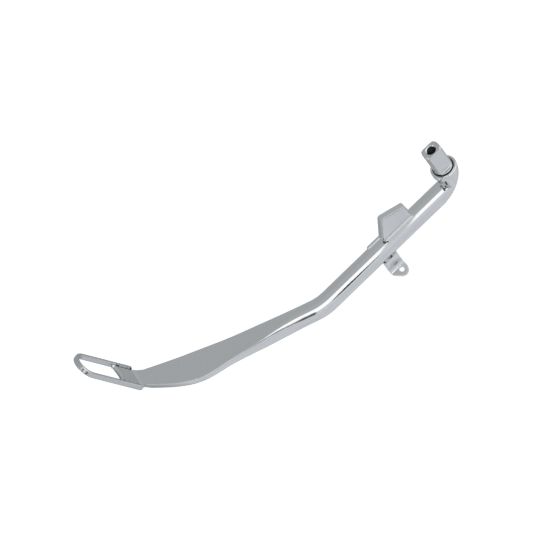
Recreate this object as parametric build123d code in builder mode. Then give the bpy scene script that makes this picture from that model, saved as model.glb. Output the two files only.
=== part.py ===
from build123d import *
from math import cos, radians, sin, sqrt, tan
import os

# Motorcycle kickstand: a clamped pivot shank, and a leg that swings round it.
# Origin: centre of the shank's end face. +Z: out of that end, along the pivot axis.
# +X: from the foot towards the pivot. The leg lies square to the pivot axis.

os.makedirs("parts", exist_ok=True)

INCH = 25.4

# ---- Driving dimensions (mm) ----
bar_diameter = 0.75 * INCH
boss_diameter = 1.0 * INCH
shank_diameter = 18.5
shank_flat_across = 12.7
shank_side_across = 17.5
shank_length = 31.0           # end face to the boss's rim
flats_length = 29.0
leg_depth = 26.0              # rim to the centre of the leg bar
thread_minor_radius = 3.97    # 3/8-16 tapping size
thread_depth = 24.0
bend_distance = 162.7         # pivot axis to the corner of the bend
bend_angle = 22.5
bend_radius = 45.0
plate_thickness = INCH / 4    # stop tab
sheet_thickness = 3.0         # spring tab
loop_width = 28.2
loop_wall = 3.55
loop_depth = 5.2
loop_reach = 62.2             # end of the loop's arms to the centre of its bow
loop_tilt = 64.0
loop_heading = 12.3

# ---- Levels and radii that follow from them ----
bar_radius = bar_diameter / 2
boss_radius = boss_diameter / 2
shank_radius = shank_diameter / 2
rim_z = -shank_length
leg_z = rim_z - leg_depth
shaft_gap = 0.05              # radial running clearance

# ---- Inside the boss ----
seal_bore_radius = 10.4
seal_bore_depth = 3.4
washer_thickness = 0.8
axial_gap = 0.1
journal_radius = 6.5
journal_depth = 13.4
bush_radius = 7.5
bush_length = 6.8
bore_depth = 13.9
ring_wire_radius = 0.7
ring_z = rim_z - 11.6
ring_mid_radius = 7.05        # the wire lies half in the shank, half in the boss
groove_radius = 6.25
groove_gap = 0.4
end_chamfer = 0.8
seal_recess = 0.5

# ---- Outside of the boss: a collar over a narrower neck ----
collar_height = 5.0
collar_rounding = 1.6
collar_under_rounding = 0.8
neck_radius = 11.2
neck_offset = 1.7

floor_z = rim_z - seal_bore_depth
shoulder_z = floor_z + washer_thickness + axial_gap
journal_end_z = rim_z - journal_depth


# ---- Pivot shank: flats on a round bar, a tapped end and a grooved journal ----
with BuildPart() as pivot_shank:
    with BuildSketch(Plane.XZ):
        with BuildLine():
            Polyline(
                (0, 0),
                (shank_radius - end_chamfer, 0),
                (shank_radius, -end_chamfer),
                (shank_radius, shoulder_z),
                (journal_radius, shoulder_z),
                (journal_radius, ring_z + ring_wire_radius),
                (groove_radius, ring_z + ring_wire_radius),
                (groove_radius, ring_z - ring_wire_radius),
                (journal_radius, ring_z - ring_wire_radius),
                (journal_radius, journal_end_z),
                (0, journal_end_z),
                close=True,
            )
        make_face()
    revolve(axis=Axis.Z)
    with BuildSketch(Plane.XY):
        Circle(boss_radius)
        Rectangle(shank_side_across, shank_flat_across, mode=Mode.SUBTRACT)
    extrude(amount=-flats_length, mode=Mode.SUBTRACT)
    with BuildSketch(Plane.XY):
        Circle(thread_minor_radius)
    extrude(amount=-thread_depth, mode=Mode.SUBTRACT)

# ---- Snap ring: round wire in the journal's groove, open at one side ----
with BuildPart() as snap_ring:
    with BuildSketch(Plane.XZ):
        with Locations((ring_mid_radius, ring_z)):
            Circle(ring_wire_radius)
    revolve(axis=Axis.Z, revolution_arc=335)

# ---- Thrust washer on the floor of the seal bore ----
with BuildPart() as thrust_washer:
    with BuildSketch(Plane.XY.offset(floor_z)):
        Circle(seal_bore_radius - 0.2)
        Circle(journal_radius + 0.3, mode=Mode.SUBTRACT)
    extrude(amount=washer_thickness)

# ---- Thin bush pressed in the boss, running on the journal ----
with BuildPart() as pivot_bush:
    with BuildSketch(Plane.XY.offset(floor_z - bush_length)):
        Circle(bush_radius)
        Circle(journal_radius + shaft_gap, mode=Mode.SUBTRACT)
    extrude(amount=bush_length)

# ---- Dust seal: the dark ring between the shank and the rim ----
with BuildPart() as dust_seal:
    with BuildSketch(Plane.XY.offset(shoulder_z + 0.1)):
        Circle(seal_bore_radius)
        Circle(shank_radius + shaft_gap, mode=Mode.SUBTRACT)
    extrude(amount=rim_z - seal_recess - shoulder_z - 0.1)


def elbow_plane(turn):
    """A plane across the elbow, turned from the rim (0) to the leg (90 degrees)."""
    swing = radians(turn)
    middle = (-leg_depth + leg_depth * cos(swing), 0, rim_z - leg_depth * sin(swing))
    return Plane(origin=middle, x_dir=(0, 1, 0), z_dir=(-sin(swing), 0, -cos(swing)))


# ---- Outer form of the elbow, tapering from the boss to the bar ----
with BuildPart() as elbow_form:
    for turn in range(0, 91, 15):
        with BuildSketch(elbow_plane(turn)):
            Circle(boss_radius + (bar_radius - boss_radius) * turn / 90)
    loft()

# ---- Pivot boss: a bored collar over a neck with a rounded bottom ----
with BuildPart() as pivot_boss:
    with BuildSketch(Plane.XY.offset(rim_z)):
        Circle(boss_radius)
    extrude(amount=-collar_height)
    fillet(pivot_boss.edges().group_by(Axis.Z)[-1], collar_rounding)
    fillet(pivot_boss.edges().group_by(Axis.Z)[0], collar_under_rounding)
    with BuildSketch(Plane.XY.offset(leg_z - bar_radius)):
        with Locations((neck_offset, 0)):
            Circle(neck_radius)
    extrude(amount=leg_depth + bar_radius - collar_rounding)
    add(elbow_form.part, mode=Mode.INTERSECT)
    with BuildSketch(Plane.XY.offset(rim_z)):
        Circle(seal_bore_radius)
    extrude(amount=-seal_bore_depth, mode=Mode.SUBTRACT)
    with BuildSketch(Plane.XY.offset(rim_z)):
        Circle(bush_radius)
    extrude(amount=-bore_depth, mode=Mode.SUBTRACT)
    with BuildSketch(Plane.XY.offset(ring_z - ring_wire_radius - groove_gap)):
        Circle(ring_mid_radius + ring_wire_radius + groove_gap)
    extrude(amount=2 * (ring_wire_radius + groove_gap), mode=Mode.SUBTRACT)

# ---- Rod end: the part of the bar inside the elbow ----
with BuildPart() as rod_end:
    with BuildSketch(Plane(origin=(-leg_depth, 0, leg_z), z_dir=(1, 0, 0))):
        Circle(bar_radius)
    extrude(amount=leg_depth)
    add(elbow_form.part, mode=Mode.INTERSECT)
    with BuildSketch(Plane.XY.offset(leg_z - 2 * bar_radius)):
        with Locations((neck_offset, 0)):
            Circle(neck_radius)
    extrude(amount=4 * bar_radius, mode=Mode.SUBTRACT)

# ---- Directions along and across the lower leg ----
along = Vector(-cos(radians(bend_angle)), sin(radians(bend_angle)), 0)
across = Vector(sin(radians(bend_angle)), cos(radians(bend_angle)), 0)
corner = Vector(-bend_distance, 0, leg_z)

# the blade starts as the bar's own circle with a narrow flat above and below
first_flat = 3.0
first_thickness = 2 * sqrt(bar_radius**2 - (first_flat / 2) ** 2)

# distance past the bend, middle, width of the flat, full width, thickness
blade_stations = [
    (24, 0.0, first_flat, bar_diameter, first_thickness),
    (42, -0.1, 8.0, 19.4, 17.4),
    (60, -0.1, 15.5, 20.4, 13.4),
    (82, 0.2, 19.8, 22.0, 9.6),
    (98, 0.4, 23.4, 24.6, 7.6),
    (112, 0.1, 27.4, 28.4, 7.2),
    (124, 0.3, 29.4, 30.4, 7.2),
    (136, 1.9, 28.6, 29.6, 7.2),
    (150, 5.3, 25.6, 26.6, 7.0),
    (164, 9.8, 20.8, 21.8, 6.8),
    (179, 15.0, 16.2, 17.2, 6.4),
]

# ---- Foot frame: x out along the loop, z out of its upper face ----
tip_thickness = 6.4
heading = radians(loop_heading)
tilt = radians(loop_tilt)
foot_origin = Vector(-322.7, 85.1, leg_z + tip_thickness / 2)
outward = Vector(-cos(heading), sin(heading), 0)
loop_out = outward * cos(tilt) + Vector(0, 0, sin(tilt))
loop_normal = outward * -sin(tilt) + Vector(0, 0, cos(tilt))
foot_plane = Plane(origin=foot_origin, x_dir=loop_out, z_dir=loop_normal)
toe_side_plane = Plane(
    origin=foot_origin, x_dir=outward, z_dir=(outward.Y, -outward.X, 0)
)

toe_root = 1.2
toe_length = 23.0
toe_thickness = 4.4
toe_drop = 0.6
toe_half_width = loop_width / 2 - loop_wall
toe_hollow_radius = 17.5
toe_hollow_depth = 3.5
root_run = (toe_thickness * cos(tilt) - tip_thickness) / sin(tilt)

# ---- Stop tab: outline along the leg and above its centre ----
stop_outline = [(-84.2, 7), (-84.2, 12.5), (-74.2, 36.5), (-49.5, 26.7), (-48.3, 7)]
stop_corner_radius = 2.0
plate_middle = 0.6            # the plate stands a little to the far side
near_weld_leg = 2.2
far_weld_leg = 3.0
far_weld_end = -99.0          # the far bead runs on past the plate

# ---- Other welds ----
foot_weld_start = 1.5
foot_weld_length = 16.0
foot_weld_leg = 1.6
crease_half = 7.0
crease_weld_radius = 1.7

# ---- Spring tab: middle, root and bend of the sheet ----
spring_x = -89.2
spring_bend = (-6.0, -24.0)
spring_fall = 25.0
spring_bend_radius = 5.5
spring_left = 7.5
spring_right = 8.8
spring_weld_leg = 3.0
ear_root = spring_bend_radius * tan(radians(90 - spring_fall) / 2)
ear_side = 4.6
ear_hole = (2.2, 6.4)
ear_radius = 6.2
ear_hole_radius = 2.2

# ---- Leg bar: straight rod, bend, flattened blade and turned-up toe ----
with BuildPart() as leg_bar:
    with BuildLine() as rod_path:
        FilletPolyline(
            (-leg_depth, 0, leg_z),
            corner,
            corner + along * blade_stations[0][0],
            radius=bend_radius,
        )
    with BuildSketch(Plane(origin=(-leg_depth, 0, leg_z), z_dir=(-1, 0, 0))):
        Circle(bar_radius)
    sweep(path=rod_path.line)
    add(rod_end.part)
    # flattened blade
    for distance, middle, flat, width, thickness in blade_stations:
        station = Plane(origin=corner + along * distance, x_dir=across, z_dir=along)
        with BuildSketch(station):
            with BuildLine():
                top = Line(
                    (middle - flat / 2, thickness / 2), (middle + flat / 2, thickness / 2)
                )
                far = ThreePointArc(
                    top @ 1, (middle + width / 2, 0), (middle + flat / 2, -thickness / 2)
                )
                under = Line(far @ 1, (middle - flat / 2, -thickness / 2))
                ThreePointArc(under @ 1, (middle - width / 2, 0), top @ 0)
            make_face()
    loft()
    # turned-up toe with a hollow end
    with BuildSketch(toe_side_plane):
        with BuildLine():
            Polyline(
                (-toe_root, 0),
                (0, 0),
                (toe_length * cos(tilt), toe_length * sin(tilt)),
                (
                    toe_length * cos(tilt) + toe_thickness * sin(tilt),
                    toe_length * sin(tilt) - toe_thickness * cos(tilt),
                ),
                (
                    toe_thickness * sin(tilt) + root_run * cos(tilt),
                    -toe_thickness * cos(tilt) + root_run * sin(tilt),
                ),
                (-toe_root, -tip_thickness),
                close=True,
            )
        make_face()
    extrude(amount=toe_half_width, both=True)
    with BuildSketch(foot_plane.offset(toe_thickness)):
        with Locations((toe_length + toe_hollow_radius - toe_hollow_depth, 0)):
            Circle(toe_hollow_radius)
    extrude(amount=-3 * toe_thickness, mode=Mode.SUBTRACT)

# ---- Foot loop: flat bar bent round in a bow, its arms beside the toe ----
with BuildPart() as foot_loop:
    with BuildSketch(foot_plane.offset(toe_drop)):
        Rectangle(loop_reach, loop_width, align=(Align.MIN, Align.CENTER))
        with Locations((loop_reach, 0)):
            Circle(loop_width / 2)
        Rectangle(
            loop_reach,
            2 * toe_half_width,
            align=(Align.MIN, Align.CENTER),
            mode=Mode.SUBTRACT,
        )
        with Locations((loop_reach, 0)):
            Circle(toe_half_width, mode=Mode.SUBTRACT)
    extrude(amount=-loop_depth)
    fillet(foot_loop.edges().filter_by(GeomType.CIRCLE), 0.7)

# ---- Stop tab: a plate standing on the bar, coped to it ----
with BuildPart() as stop_tab:
    with BuildSketch(Plane.XZ.offset(-plate_middle)):
        with BuildLine():
            Polyline(*[(x, leg_z + height) for x, height in stop_outline], close=True)
        make_face()
    extrude(amount=plate_thickness / 2, both=True)
    fillet(stop_tab.edges().filter_by(Axis.Y).sort_by(Axis.Z)[-2:], stop_corner_radius)
    with BuildSketch(Plane.YZ.offset(-bend_distance)):
        with Locations((0, leg_z)):
            Circle(bar_radius)
    extrude(amount=bend_distance, mode=Mode.SUBTRACT)

# ---- Spring tab: bent sheet under the bar, with an ear for the spring ----
fall = radians(spring_fall)
ear_run = Vector(0, -cos(fall), -sin(fall))
bend_point = Vector(spring_x, spring_bend[0], leg_z + spring_bend[1])
ear_plane = Plane(origin=bend_point, x_dir=(1, 0, 0), z_dir=(0, sin(fall), -cos(fall)))
with BuildPart() as spring_tab:
    with BuildSketch(Plane.YZ.offset(spring_x - spring_left)):
        with BuildLine():
            profile = FilletPolyline(
                (bend_point.Y, leg_z - 4),
                (bend_point.Y, bend_point.Z),
                (bend_point.Y + ear_side * ear_run.Y, bend_point.Z + ear_side * ear_run.Z),
                radius=spring_bend_radius,
            )
        trace(profile, line_width=sheet_thickness)
    extrude(amount=spring_left + spring_right)
    with BuildSketch(ear_plane):
        with BuildLine():
            CenterArc(ear_hole, ear_radius, 0, 360)
            Polyline(
                (spring_right, ear_root), (-spring_left, ear_root), (-spring_left, ear_side)
            )
        make_hull()
    extrude(amount=sheet_thickness / 2, both=True)
    with BuildSketch(ear_plane):
        with Locations(ear_hole):
            Circle(ear_hole_radius)
    extrude(amount=sheet_thickness, both=True, mode=Mode.SUBTRACT)
    with BuildSketch(Plane.YZ.offset(-bend_distance)):
        with Locations((0, leg_z)):
            Circle(bar_radius)
    extrude(amount=bend_distance, mode=Mode.SUBTRACT)


def bar_height(y):
    """Height of the bar's surface above its centre at y."""
    return sqrt(bar_radius**2 - y**2)


# ---- Welds along the stop tab: a strip each side, the far one runs on ----
near_face = plate_middle - plate_thickness / 2
near_toe = near_face - near_weld_leg
with BuildPart() as stop_weld_near:
    with BuildSketch(Plane.YZ.offset(stop_outline[0][0])):
        with BuildLine():
            Polyline(
                (near_face, leg_z + bar_height(near_face) + near_weld_leg),
                (near_toe, leg_z + bar_height(near_toe) + 0.3),
                (near_toe, leg_z + bar_height(near_toe) - 1),
                (near_face, leg_z + bar_height(near_toe) - 1),
                close=True,
            )
        make_face()
    extrude(amount=stop_outline[-1][0] - stop_outline[0][0])
    with BuildSketch(Plane.YZ.offset(-bend_distance)):
        with Locations((0, leg_z)):
            Circle(bar_radius)
    extrude(amount=bend_distance, mode=Mode.SUBTRACT)

far_face = plate_middle + plate_thickness / 2
far_toe = far_face + far_weld_leg
with BuildPart() as stop_weld_far:
    with BuildSketch(Plane.YZ.offset(far_weld_end)):
        with BuildLine():
            Polyline(
                (far_face, leg_z + bar_height(far_face) + far_weld_leg),
                (far_toe, leg_z + bar_height(far_toe) + 1),
                (far_toe, leg_z + bar_height(far_toe) - 1),
                (far_face, leg_z + bar_height(far_toe) - 1),
                close=True,
            )
        make_face()
    extrude(amount=stop_outline[-1][0] - far_weld_end)
    with BuildSketch(Plane.YZ.offset(-bend_distance)):
        with Locations((0, leg_z)):
            Circle(bar_radius)
    extrude(amount=bend_distance, mode=Mode.SUBTRACT)

# ---- Weld beads each side of the spring tab's root ----
sheet_near = bend_point.Y - sheet_thickness / 2
sheet_far = bend_point.Y + sheet_thickness / 2
with BuildPart() as spring_weld_near:
    with BuildSketch(Plane.YZ.offset(spring_x - spring_left)):
        with BuildLine():
            Polyline(
                (sheet_near, leg_z - bar_height(sheet_near) - spring_weld_leg),
                (sheet_near - 2, leg_z - bar_height(sheet_near - 2) - 1),
                (sheet_near - 2, leg_z),
                (sheet_near, leg_z),
                close=True,
            )
        make_face()
    extrude(amount=spring_left + spring_right)
    with BuildSketch(Plane.YZ.offset(-bend_distance)):
        with Locations((0, leg_z)):
            Circle(bar_radius)
    extrude(amount=bend_distance, mode=Mode.SUBTRACT)

with BuildPart() as spring_weld_far:
    with BuildSketch(Plane.YZ.offset(spring_x - spring_left)):
        with BuildLine():
            Polyline(
                (sheet_far, leg_z - bar_height(sheet_far) - spring_weld_leg),
                (sheet_far + spring_weld_leg, leg_z - bar_radius),
                (sheet_far + spring_weld_leg, leg_z),
                (sheet_far, leg_z),
                close=True,
            )
        make_face()
    extrude(amount=spring_left + spring_right)
    with BuildSketch(Plane.YZ.offset(-bend_distance)):
        with Locations((0, leg_z)):
            Circle(bar_radius)
    extrude(amount=bend_distance, mode=Mode.SUBTRACT)

# ---- Weld beads in the steps between the toe and the loop's arms ----
foot_weld_plane = Plane(
    origin=foot_origin + loop_out * foot_weld_start, x_dir=loop_normal, z_dir=loop_out
)
with BuildPart() as foot_weld_near:
    with BuildSketch(foot_weld_plane):
        with BuildLine():
            Polyline(
                (0, toe_half_width),
                (toe_drop, toe_half_width),
                (0, toe_half_width - foot_weld_leg),
                close=True,
            )
        make_face()
    extrude(amount=foot_weld_length)

with BuildPart() as foot_weld_far:
    with BuildSketch(foot_weld_plane):
        with BuildLine():
            Polyline(
                (0, -toe_half_width),
                (toe_drop, -toe_half_width),
                (0, foot_weld_leg - toe_half_width),
                close=True,
            )
        make_face()
    extrude(amount=foot_weld_length)

# ---- Weld in the crease between the boss and the bar ----
crease = [
    (neck_offset - sqrt(neck_radius**2 - y**2), y, leg_z + bar_height(y))
    for y in (-crease_half, -crease_half / 2, 0, crease_half / 2, crease_half)
]
with BuildPart() as boss_weld:
    with BuildLine() as crease_line:
        Spline(*crease)
    with BuildSketch(Plane(origin=crease_line.line @ 0, z_dir=crease_line.line % 0)):
        Circle(crease_weld_radius)
    sweep(path=crease_line.line)
    add(pivot_boss.part, mode=Mode.SUBTRACT)
    add(leg_bar.part, mode=Mode.SUBTRACT)

sub_parts = {
    "pivot_shank": pivot_shank,
    "snap_ring": snap_ring,
    "thrust_washer": thrust_washer,
    "pivot_bush": pivot_bush,
    "dust_seal": dust_seal,
    "pivot_boss": pivot_boss,
    "leg_bar": leg_bar,
    "foot_loop": foot_loop,
    "stop_tab": stop_tab,
    "spring_tab": spring_tab,
    "stop_weld_near": stop_weld_near,
    "stop_weld_far": stop_weld_far,
    "spring_weld_near": spring_weld_near,
    "spring_weld_far": spring_weld_far,
    "foot_weld_near": foot_weld_near,
    "foot_weld_far": foot_weld_far,
    "boss_weld": boss_weld,
}
for label, piece in sub_parts.items():
    piece.part.label = label
    export_step(piece.part, f"parts/{label}.step")
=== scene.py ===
import math

import bpy
import numpy as np
from bpy.props import FloatProperty, FloatVectorProperty, PointerProperty
from mathutils import Matrix, Vector


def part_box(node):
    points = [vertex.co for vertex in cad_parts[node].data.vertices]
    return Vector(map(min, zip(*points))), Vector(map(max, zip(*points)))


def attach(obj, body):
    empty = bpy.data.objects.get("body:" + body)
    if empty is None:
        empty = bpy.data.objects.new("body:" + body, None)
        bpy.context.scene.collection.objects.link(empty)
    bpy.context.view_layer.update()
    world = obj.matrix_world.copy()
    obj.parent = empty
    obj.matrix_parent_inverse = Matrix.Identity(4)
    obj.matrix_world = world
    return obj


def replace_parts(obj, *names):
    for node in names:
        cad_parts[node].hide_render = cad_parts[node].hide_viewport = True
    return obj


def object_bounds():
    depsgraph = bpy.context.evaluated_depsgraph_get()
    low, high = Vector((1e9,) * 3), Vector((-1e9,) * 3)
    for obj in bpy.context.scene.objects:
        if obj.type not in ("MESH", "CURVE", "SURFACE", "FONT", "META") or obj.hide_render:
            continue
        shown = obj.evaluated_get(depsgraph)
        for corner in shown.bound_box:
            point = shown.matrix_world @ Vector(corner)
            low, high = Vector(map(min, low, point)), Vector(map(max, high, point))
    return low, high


bl_info = {
    "name": "Kickstand Workshop",
    "version": (1, 0, 0),
    "blender": (4, 5, 0),
    "location": "View3D > Sidebar > Kickstand",
    "description": "Plated motorcycle kickstand: leg, blade, foot loop, tabs, welds and pivot",
    "category": "Add Mesh",
}

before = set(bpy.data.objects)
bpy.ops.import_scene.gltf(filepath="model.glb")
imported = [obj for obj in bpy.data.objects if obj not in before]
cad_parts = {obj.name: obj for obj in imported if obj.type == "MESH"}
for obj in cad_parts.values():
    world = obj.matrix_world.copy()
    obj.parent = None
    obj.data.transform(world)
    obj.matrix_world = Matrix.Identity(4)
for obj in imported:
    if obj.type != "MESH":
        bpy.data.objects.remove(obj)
CAD_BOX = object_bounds()
MM = 0.001

# The pivot's rim is read from the frame. The elbow turns the leg a quarter round below it.
RIM_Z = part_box("pivot_boss")[1].z / MM
ELBOW_R = 26.0
LEG_Z = RIM_Z - ELBOW_R
BAR_R = 9.525
BOSS_R = 12.7
BEND_X = -162.7
BEND_TURN = math.radians(22.5)
BEND_R = 45.0
ALONG = np.array([-math.cos(BEND_TURN), math.sin(BEND_TURN), 0.0])
ACROSS = np.array([math.sin(BEND_TURN), math.cos(BEND_TURN), 0.0])
CORNER = np.array([BEND_X, 0.0, LEG_Z])
UP = np.array([0.0, 0.0, 1.0])

# Foot frame: out along the loop, sideways, and out of its upper face.
TILT = math.radians(64.0)
HEADING = math.radians(12.3)
FOOT = np.array([-322.7, 85.1, LEG_Z + 3.2])
OUTWARD = np.array([-math.cos(HEADING), math.sin(HEADING), 0.0])
LOOP_OUT = OUTWARD * math.cos(TILT) + UP * math.sin(TILT)
LOOP_NORMAL = -OUTWARD * math.sin(TILT) + UP * math.cos(TILT)
LOOP_SIDE = np.cross(LOOP_NORMAL, LOOP_OUT)
LOOP_PROUD = 0.6
TOE_HALF = 10.55

# Stop plate: its middle across the leg and half its quarter inch.
PLATE_MIDDLE = 0.6
PLATE_HALF = 3.175


# ---------------------------------------------------------------- mesh tools
def mesh_piece(name, points, faces, material, body, smooth=True):
    """A new mesh object in the row frame from points in millimetres, riding on a body."""
    mesh = bpy.data.meshes.new(name)
    mesh.from_pydata((points * MM).tolist(), [], faces.tolist() if hasattr(faces, "tolist") else faces)
    mesh.update()
    mesh.polygons.foreach_set("use_smooth", np.full(len(mesh.polygons), smooth))
    mesh.materials.append(material)
    piece = bpy.data.objects.new(name, mesh)
    bpy.context.scene.collection.objects.link(piece)
    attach(piece, body)
    return piece


def grid_faces(rows, columns, wrap_rows, wrap_columns):
    """Quads of a grid of rows by columns points, joined round on itself where asked."""
    r = np.arange(rows if wrap_rows else rows - 1)
    c = np.arange(columns if wrap_columns else columns - 1)
    r, c = np.meshgrid(r, c, indexing="ij")
    down = (r + 1) % rows
    over = (c + 1) % columns
    return np.stack(
        [r * columns + c, r * columns + over, down * columns + over, down * columns + c], -1
    ).reshape(-1, 4)


def outward(points, faces):
    """The faces, turned over as a whole where the closed surface they make has a negative volume."""
    corner = points[faces]
    centre = points.mean(0)
    a, b, c, d = (corner[:, i] - centre for i in range(4))
    volume = (np.cross(b - a, c - a) * a).sum() + (np.cross(c - a, d - a) * a).sum()
    return faces if volume > 0 else faces[:, ::-1]


def tube_piece(name, grid, material, body, inner=None, inner_rows=0):
    """A closed skin from a grid of rings: each ring is joined round, and both ends are closed to a point.

    The first inner_rows rings take the inner material.
    """
    first = grid[:1].mean(1, keepdims=True)
    last = grid[-1:].mean(1, keepdims=True)
    rows, columns = grid.shape[:2]
    points = np.vstack([grid.reshape(-1, 3), first.reshape(1, 3), last.reshape(1, 3)])
    faces = outward(points, grid_faces(rows, columns, False, True))
    turned = np.all(faces[0] == grid_faces(rows, columns, False, True)[0])
    c = np.arange(columns)
    n = (c + 1) % columns
    base = (rows - 1) * columns
    start = np.stack([np.full(columns, rows * columns), n, c], -1)
    end = np.stack([np.full(columns, rows * columns + 1), base + c, base + n], -1)
    caps = np.vstack([start, end])
    caps = caps if turned else caps[:, ::-1]
    piece = mesh_piece(name, points, faces.tolist() + caps.tolist(), material, body)
    if inner:
        piece.data.materials.append(inner)
        index = np.zeros(len(piece.data.polygons), np.int32)
        index[: inner_rows * columns] = 1
        index[len(faces) : len(faces) + columns] = 1
        piece.data.polygons.foreach_set("material_index", index)
    return piece


def ring_piece(name, grid, material, body):
    """A skin that closes on itself both ways, such as a plate with a hole or a hoop."""
    rows, columns = grid.shape[:2]
    points = grid.reshape(-1, 3)
    faces = outward(points, grid_faces(rows, columns, True, True))
    return mesh_piece(name, points, faces, material, body)


def rounded_box_loop(half_width, half_height, radius, corner_points=9):
    """A rectangle's outline with its corners turned on a radius, as points (x, y) in order."""
    turn = np.linspace(0, math.pi / 2, corner_points)
    sides = np.array([[1, 1, 0], [-1, 1, 1], [-1, -1, 2], [1, -1, 3]], float)
    angle = turn[None, :] + sides[:, 2:] * math.pi / 2
    x = sides[:, :1] * (half_width - radius) + radius * np.cos(angle)
    y = sides[:, 1:2] * (half_height - radius) + radius * np.sin(angle)
    return np.stack([x.ravel(), y.ravel()], -1)


def even_steps(points, count, closed):
    """The outline's points spaced evenly by length, starting at its first point."""
    loop = np.vstack([points, points[:1]]) if closed else points
    run = np.concatenate([[0], np.cumsum(np.linalg.norm(np.diff(loop, axis=0), axis=1))])
    at = np.linspace(0, run[-1], count, endpoint=not closed)
    return np.stack([np.interp(at, run, loop[:, i]) for i in range(loop.shape[1])], -1)


def eased(values, width):
    """Each column averaged over a moving window, three times over, with its ends carried on straight."""
    pad = 3 * width
    before = values[:1] + (values[:1] - values[1:2]) * np.arange(pad, 0, -1)[:, None]
    after = values[-1:] + (values[-1:] - values[-2:-1]) * np.arange(1, pad + 1)[:, None]
    out = np.vstack([before, values, after])
    kernel = np.ones(2 * (width // 2) + 1)
    kernel /= kernel.sum()
    for _ in range(3):
        out = np.stack([np.convolve(column, kernel, "same") for column in out.T], -1)
    return out[pad:-pad]


def table_at(at, table, width):
    """The table's columns at those places: straight between its rows, then eased."""
    rows = np.stack([np.interp(at, table[:, 0], column) for column in table[:, 1:].T], -1)
    return eased(rows, width)


def ripple(run, side, seed):
    """A smooth pseudo-random height from -1 to 1 over two distances, a sum of five sine waves."""
    k = np.arange(1, 6)
    a = np.sin(k * 12.9898 + seed * 7.31) * 43.7
    b = np.cos(k * 4.1414 + seed * 3.77) * 17.3
    waves = np.sin(
        run[..., None] * (0.35 + 0.5 * k) + side[..., None] * (k % 3 + 1) + a
    ) * np.cos(run[..., None] * 0.21 * k + b)
    return (waves / k).sum(-1) / 2.283


# ---------------------------------------------------------------- leg
def elbow_reach(x, y_share, z_share):
    """How far from the bar's axis its skin is where the elbow's outer curve cuts it off.

    The elbow is a quarter turn whose own radius falls from the boss's to the bar's. Along a ray
    square to the bar, halving steps find where that surface is crossed.
    """
    tuck = 0.03
    low = np.zeros(np.broadcast(x, y_share).shape)
    high = np.full(low.shape, BAR_R)
    for _ in range(30):
        middle = (low + high) / 2
        z = LEG_Z + middle * z_share
        turn = np.arctan2(RIM_Z - z, x + ELBOW_R) / (math.pi / 2)
        radius = BOSS_R + (BAR_R - BOSS_R) * np.clip(turn, 0, 1) - tuck
        outside = (np.hypot(x + ELBOW_R, RIM_Z - z) - ELBOW_R) ** 2 + (middle * y_share) ** 2 > radius**2
        high = np.where(outside, middle, high)
        low = np.where(outside, low, middle)
    return low


# distance past the bend, near edge, far edge, width of the flat, thickness
BLADE = np.array(
    [
        (9.0, -9.525, 9.525, 0.0, 19.05),
        (24.0, -9.525, 9.525, 1.5, 18.9),
        (42.0, -9.8, 9.6, 8.0, 17.4),
        (60.0, -10.3, 10.1, 15.5, 13.4),
        (82.0, -10.8, 11.2, 19.8, 9.6),
        (98.0, -11.9, 12.7, 23.2, 7.6),
        (112.0, -14.1, 14.3, 27.2, 7.2),
        (124.0, -14.9, 15.5, 29.2, 7.2),
        (136.0, -12.9, 16.7, 28.4, 7.2),
        (150.0, -8.0, 18.6, 25.4, 7.0),
        (164.0, -1.1, 20.7, 20.6, 6.8),
        (173.0, 3.6, 22.1, 17.3, 6.6),
    ]
)
RING = 144


def bar_ring(theta, width, flat, thick):
    """Points (y, z) round the leg at each ring.

    The top and bottom are straight runs of the flat's width. Each side is half an ellipse as
    deep as what is left of the width, so a ring with no flat is the bar's own circle.
    """
    c, s = np.cos(theta)[None], np.sin(theta)[None]
    edge = 0.6 * np.clip(flat / width / 0.5, 0.001, 1)
    run = np.clip(c / edge, -1, 1)
    turn = np.clip((np.abs(c) - edge) / (1 - edge), 0, 1)
    y = flat / 2 * run + (width - flat) / 2 * np.sign(c) * turn
    z = thick / 2 * np.sign(s) * np.sqrt(1 - turn**2)
    return y, z


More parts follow.
